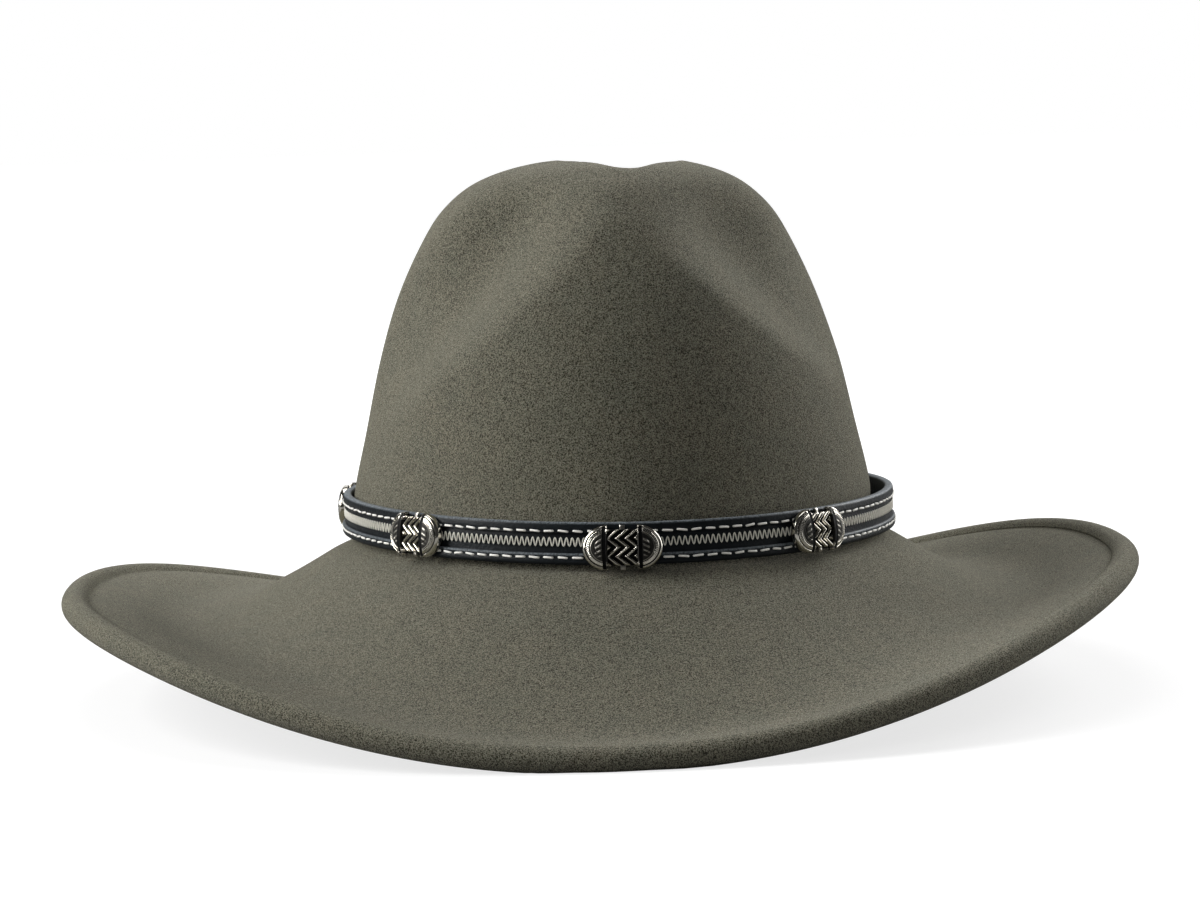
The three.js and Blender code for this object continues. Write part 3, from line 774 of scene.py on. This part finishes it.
def zigzag_plate():
    """The plate between the caps, with three ridges that run down it in zigzags."""
    xs = np.linspace(-PLATE_HALF_LENGTH, PLATE_HALF_LENGTH, PLATE_COLUMNS)
    zs = np.linspace(-PLATE_HALF_HEIGHT, PLATE_HALF_HEIGHT, PLATE_ROWS)
    x, z = np.meshgrid(xs, zs, indexing="ij")
    wave = (z / PLATE_HALF_HEIGHT + 1) / 2 * RIDGE_WAVES
    lean = RIDGE_REACH * (0.5 - np.abs((wave + 0.5) % 1 * 2 - 1))
    phase = ((x + lean) / RIDGE_PITCH + 0.5) % 1 - 0.5
    raised = np.sqrt(np.maximum(1 - (phase * 2 / RIDGE_SHARE) ** 2, 0))
    edge = smoothstep(PLATE_HALF_HEIGHT - np.abs(z), 0, PLATE_BEVEL)
    height = PLATE_THICK + RIDGE_HEIGHT * raised - PLATE_BEVEL_DROP * (1 - edge)
    points, faces = grid_with_skirt(x, z, height, 0.0)
    sunk = smoothstep(raised.reshape(-1), 0.45, 0.1)
    antiquing_and_shade = np.concatenate([sunk, np.full(len(points) - raised.size, PLATE_SIDE_HOLLOW)])
    return points, [face[::-1] for face in faces], antiquing_and_shade


PRONG_HALF_WIDTH = 0.75
PRONG_LENGTH = 1.5
PRONG_ROOT = 0.2
PRONG_EDGE = 0.25
PRONG_SWELL = 0.35
PRONG_SWELL_HALF_WIDTH = 0.85
PRONG_TIP_DROP = 0.3
PRONG_FOOT = -0.35
PRONG_HOLLOW = 0.45
PRONG_POINTS = 9


def prong(side):
    """A short flat tab from the plate towards an edge of the strap."""
    xs = np.linspace(-PRONG_HALF_WIDTH, PRONG_HALF_WIDTH, PRONG_POINTS)
    zs = np.linspace(0, PRONG_LENGTH, PRONG_POINTS)
    x, z = np.meshgrid(xs, zs, indexing="ij")
    swell = PRONG_SWELL * np.sqrt(np.maximum(1 - (x / PRONG_SWELL_HALF_WIDTH) ** 2, 0))
    height = PRONG_EDGE + swell - PRONG_TIP_DROP * smoothstep(z, 1.0, PRONG_LENGTH)
    points, faces = grid_with_skirt(x, side * (PLATE_HALF_HEIGHT - PRONG_ROOT + z), height, PRONG_FOOT)
    if side > 0:
        faces = [face[::-1] for face in faces]
    return points, faces, np.full(len(points), PRONG_HOLLOW)


def casting_shape():
    """The whole casting, laid flat: its points, its faces and how dark each point is left, by blackening and
    by painted shade.
    """
    points = []
    faces = []
    antiquing_and_shade_parts = []
    parts = (half_dome(-1), half_dome(1), zigzag_plate(), prong(1), prong(-1))
    for part_points, part_faces, antiquing_and_shade in parts:
        start = sum(len(p) for p in points)
        points.append(part_points)
        faces.extend([[start + i for i in face] for face in part_faces])
        antiquing_and_shade_parts.append(antiquing_and_shade)
    return np.vstack(points), faces, np.concatenate(antiquing_and_shade_parts)


metal_material, tree, shader = new_material("antiqued_white_metal")
antiquing_and_shade = add_node(tree, "ShaderNodeAttribute", attribute_name="antiquing_and_shade").outputs["Fac"]
tarnish = grain_in(tree, 420, 0.2)
# Dark metal where the casting is blackened. On the caps' walls and in their troughs this is also painted
# shade.
blackening_and_shade = add_node(tree, "ShaderNodeMapRange", {"value": antiquing_and_shade}, from_min=0.3, from_max=0.72)
polish = mix_colours(tree, tarnish[0], (0.60, 0.57, 0.50), (0.80, 0.77, 0.69))
metal_colour = mix_colours(tree, blackening_and_shade.outputs[0], polish, (0.012, 0.012, 0.012))
tree.links.new(metal_colour, shader.inputs["Base Color"])
dullness = add_node(tree, "ShaderNodeMapRange", {"value": blackening_and_shade.outputs[0]}, to_min=0.14, to_max=0.6)
tree.links.new(dullness.outputs[0], shader.inputs["Roughness"])
shader.inputs["Metallic"].default_value = 1.0
scratches = grain_in(tree, 900, 0.2)
bump = add_node(tree, "ShaderNodeBump", {"height": scratches[1]}, strength=0.12, distance=0.0002)
tree.links.new(bump.outputs[0], shader.inputs["Normal"])

CASTING_SHARP_ANGLE = 55
casting_points, casting_faces, casting_antiquing_and_shade = casting_shape()
bend_radius = ORNAMENT_BEND + casting_points[:, 1]
bend_turn = casting_points[:, 0] / ORNAMENT_BEND
bent_points = np.column_stack([
    bend_radius * np.sin(bend_turn),
    bend_radius * np.cos(bend_turn) - ORNAMENT_BEND,
    casting_points[:, 2],
])
for name, (degrees, drop) in ORNAMENTS.items():
    turn = np.radians(np.array(degrees))
    origin = strap_line(turn, STRAP_THICK + ORNAMENT_GAP, -drop)
    facing = outward_at(turn)
    standing = upward_at(turn)
    rotation = np.column_stack([np.cross(facing, standing), facing, standing])
    placed_points = bent_points @ rotation.T + origin
    casting = smooth_object("cast_" + name, placed_points, casting_faces, CASTING_SHARP_ANGLE)
    layer = casting.data.attributes.new("antiquing_and_shade", "FLOAT", "POINT")
    layer.data.foreach_set("value", casting_antiquing_and_shade.astype(np.float32))
    casting.data.materials.append(metal_material)
    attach(casting, "root")
    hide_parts(name)

# Photo table. A wide pale floor without an edge in view, under a white backdrop. Six soft boxes light it: the
# side ones stand high or a little back, so that the front of the crown stays in shade.
FLOOR_RADIUS = 14.0
FLOOR_CORNERS = 96
FLOOR_GLOW = {"near": 0.75, "far": 1.0, "from": 0.25, "to": 1.0}
floor_mesh = bpy.data.meshes.new("floor")
floor_angles = np.linspace(0, 2 * math.pi, FLOOR_CORNERS, endpoint=False)
floor_ring = [(FLOOR_RADIUS * math.cos(a), FLOOR_RADIUS * math.sin(a), 0) for a in floor_angles]
floor_mesh.from_pydata(floor_ring, [], [list(range(FLOOR_CORNERS))])
floor = bpy.data.objects.new("floor", floor_mesh)
bpy.context.scene.collection.objects.link(floor)
floor_material, tree, shader = new_material("pale_floor")
shader.inputs["Base Color"].default_value = (0.3, 0.3, 0.3, 1)
shader.inputs["Roughness"].default_value = 0.9
shader.inputs["Specular IOR Level"].default_value = 0.0
shader.inputs["Emission Strength"].default_value = 1.0
place = tree.nodes.new("ShaderNodeTexCoord").outputs["Object"]
from_middle = add_node(tree, "ShaderNodeVectorMath", {"vector": place}, operation="LENGTH")
glow = tree.nodes.new("ShaderNodeMapRange")
glow.interpolation_type = "SMOOTHSTEP"
tree.links.new(from_middle.outputs["Value"], glow.inputs[0])
for socket, key in zip(glow.inputs[1:5], ("from", "to", "near", "far")):
    socket.default_value = FLOOR_GLOW[key]
seen = tree.nodes.new("ShaderNodeLightPath").outputs["Is Camera Ray"]
glow_seen = add_node(tree, "ShaderNodeMath", {"value": glow.outputs[0]}, operation="MULTIPLY")
tree.links.new(seen, glow_seen.inputs[1])
tree.links.new(glow_seen.outputs[0], shader.inputs["Emission Color"])
floor.data.materials.append(floor_material)

world = bpy.data.worlds.new("studio")
world.use_nodes = True
bpy.context.scene.world = world
background = world.node_tree.nodes["Background"]
seen = world.node_tree.nodes.new("ShaderNodeLightPath").outputs["Is Camera Ray"]
brightness = add_node(world.node_tree, "ShaderNodeMapRange", {"value": seen}, to_min=0.03, to_max=1.0)
world.node_tree.links.new(brightness.outputs[0], background.inputs["Strength"])
background.inputs["Color"].default_value = (1, 1, 1, 1)

LIGHT_AIM = Vector((0, 0, 0.09))
SOFT_BOXES = {
    "left": ((-1.32, -0.11, 0.78), (0.7, 1.2), 29.0),
    "right": ((1.40, 0.30, 0.62), (0.7, 1.3), 10.5),
    "right_back": ((1.00, 0.90, 0.80), (0.7, 0.9), 15.0),
    "back": ((0.0, 1.70, 0.90), (2.2, 1.0), 6.0),
    "top": ((-0.05, 0.50, 1.60), (0.9, 0.9), 8.0),
    "front": ((0.0, -1.45, 0.85), (1.0, 0.8), 4.0),
}
for name, (place, size, power) in SOFT_BOXES.items():
    light = bpy.data.lights.new("softbox_" + name, "AREA")
    light.shape = "RECTANGLE"
    light.size, light.size_y = size
    light.energy = power
    box = bpy.data.objects.new("softbox_" + name, light)
    box.location = place
    box.rotation_euler = (LIGHT_AIM - Vector(place)).to_track_quat("-Z", "Y").to_euler()
    box.visible_glossy = name != "front"
    bpy.context.scene.collection.objects.link(box)
bpy.context.scene.view_settings.view_transform = "Standard"

# Camera, at the photograph's place: in front, a little above the brim, level but for a slight roll.
CAMERA_DISTANCE = 1.3
CAMERA_FOCAL_PIXELS = 4088.0
CAMERA_ELEVATION = math.radians(5.54)
CAMERA_ROLL = math.radians(1.78)
CAMERA_YAW = math.radians(-2.64)
IMAGE_WIDTH = 1200
IMAGE_HEIGHT = 900
SENSOR_WIDTH = 36.0
AIM = Vector((0, 0, 0.06))
AIM_PIXEL = (596.0, 493.8)

side_axis = Vector((math.cos(CAMERA_YAW), math.sin(CAMERA_YAW), 0))
depth_axis = Vector((-math.sin(CAMERA_YAW), math.cos(CAMERA_YAW), 0))
up_axis = Vector((0, 0, 1))
forward = depth_axis * math.cos(CAMERA_ELEVATION) - up_axis * math.sin(CAMERA_ELEVATION)
upward = up_axis * math.cos(CAMERA_ELEVATION) + depth_axis * math.sin(CAMERA_ELEVATION)
camera_right = side_axis * math.cos(CAMERA_ROLL) - upward * math.sin(CAMERA_ROLL)
camera_up = upward * math.cos(CAMERA_ROLL) + side_axis * math.sin(CAMERA_ROLL)
camera_data = bpy.data.cameras.new("camera")
camera_data.sensor_width = SENSOR_WIDTH
camera_data.lens = CAMERA_FOCAL_PIXELS * SENSOR_WIDTH / IMAGE_WIDTH
camera_data.shift_x = (IMAGE_WIDTH / 2 - AIM_PIXEL[0]) / IMAGE_WIDTH
camera_data.shift_y = (AIM_PIXEL[1] - IMAGE_HEIGHT / 2) / IMAGE_WIDTH
camera = bpy.data.objects.new("camera", camera_data)
turned = Matrix((camera_right, camera_up, -forward)).transposed().to_4x4()
camera.matrix_world = Matrix.Translation(AIM - forward * CAMERA_DISTANCE) @ turned
bpy.context.scene.collection.objects.link(camera)
bpy.context.scene.camera = camera
